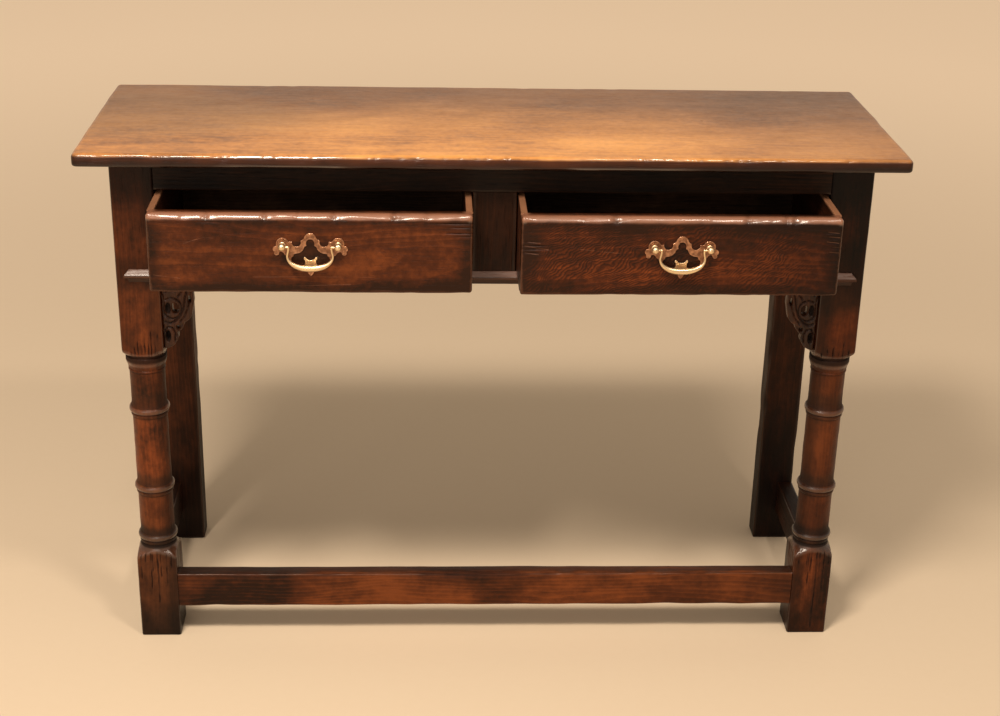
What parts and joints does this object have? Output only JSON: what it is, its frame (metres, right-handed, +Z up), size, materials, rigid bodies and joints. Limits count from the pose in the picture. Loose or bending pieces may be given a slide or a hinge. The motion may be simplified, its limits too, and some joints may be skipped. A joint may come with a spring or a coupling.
{
  "type": "serving table",
  "caption": "Serving table in dark oak: long top, drawers side by side, turned front legs, pierced brackets, low stretchers and swan neck bail handles.",
  "frame": {"origin": "on the floor, under the middle of the whole table's box, whose front is the more open drawer's handle and whose back is the rear edge of the top", "axes": "+X to the right along the top as seen from the front, +Y to the back, +Z up"},
  "size_m": [1.22, 0.484, 0.83],
  "materials": {
    "top_oak": "waxed",
    "dark_oak": "satin",
    "front_oak": "satin",
    "inner_oak": "matt",
    "brass": "polished",
    "worn_brass": "worn",
    "steel": "satin"
  },
  "bodies": {
    "frame": {"table_top": "top_oak", "front_leg_left": "dark_oak", "front_leg_right": "dark_oak", "rear_leg_left": "dark_oak", "rear_leg_right": "dark_oak", "upper_front_rail": "dark_oak", "lower_front_rail": "dark_oak", "rail_moulding": "dark_oak", "centre_muntin": "dark_oak", "side_apron_left": "dark_oak", "side_apron_right": "dark_oak", "back_apron": "dark_oak", "front_stretcher": "dark_oak", "side_stretcher_left": "dark_oak", "side_stretcher_right": "dark_oak", "bracket_left": "dark_oak", "bracket_right": "dark_oak", "runner_left": "inner_oak", "runner_centre": "inner_oak", "runner_right": "inner_oak", "centre_guide": "inner_oak", "kicker_left": "inner_oak", "kicker_centre": "inner_oak", "kicker_right": "inner_oak", "drawer_stops": "inner_oak", "top_buttons": "inner_oak", "button_screws": "steel"},
    "left_drawer": {"left_drawer_front": "front_oak", "left_drawer_side_outer": "front_oak", "left_drawer_side_inner": "front_oak", "left_drawer_back": "inner_oak", "left_drawer_bottom": "inner_oak", "left_handle_plate": "worn_brass", "left_handle_posts": "brass", "left_handle_nuts": "brass"},
    "left_bail_body": {"left_bail": "brass"},
    "right_drawer": {"right_drawer_front": "front_oak", "right_drawer_side_outer": "front_oak", "right_drawer_side_inner": "front_oak", "right_drawer_back": "inner_oak", "right_drawer_bottom": "inner_oak", "right_handle_plate": "worn_brass", "right_handle_posts": "brass", "right_handle_nuts": "brass"},
    "right_bail_body": {"right_bail": "brass"}
  },
  "joints": [
    {"name": "left_drawer_slide", "type": "slide", "parent": "frame", "child": "left_drawer", "axis": [0, -1, 0], "range_m": [-0.099, 0.131]},
    {"name": "left_bail_swing", "type": "hinge", "parent": "left_drawer", "child": "left_bail_body", "pos_m": [-0.267, -0.2325, 0.7153], "axis": [-1, 0, 0], "range_deg": [0, 160]},
    {"name": "right_drawer_slide", "type": "slide", "parent": "frame", "child": "right_drawer", "axis": [0, -1, 0], "range_m": [-0.103, 0.127]},
    {"name": "right_bail_swing", "type": "hinge", "parent": "right_drawer", "child": "right_bail_body", "pos_m": [0.267, -0.2365, 0.7153], "axis": [-1, 0, 0], "range_deg": [0, 160]}
  ]
}
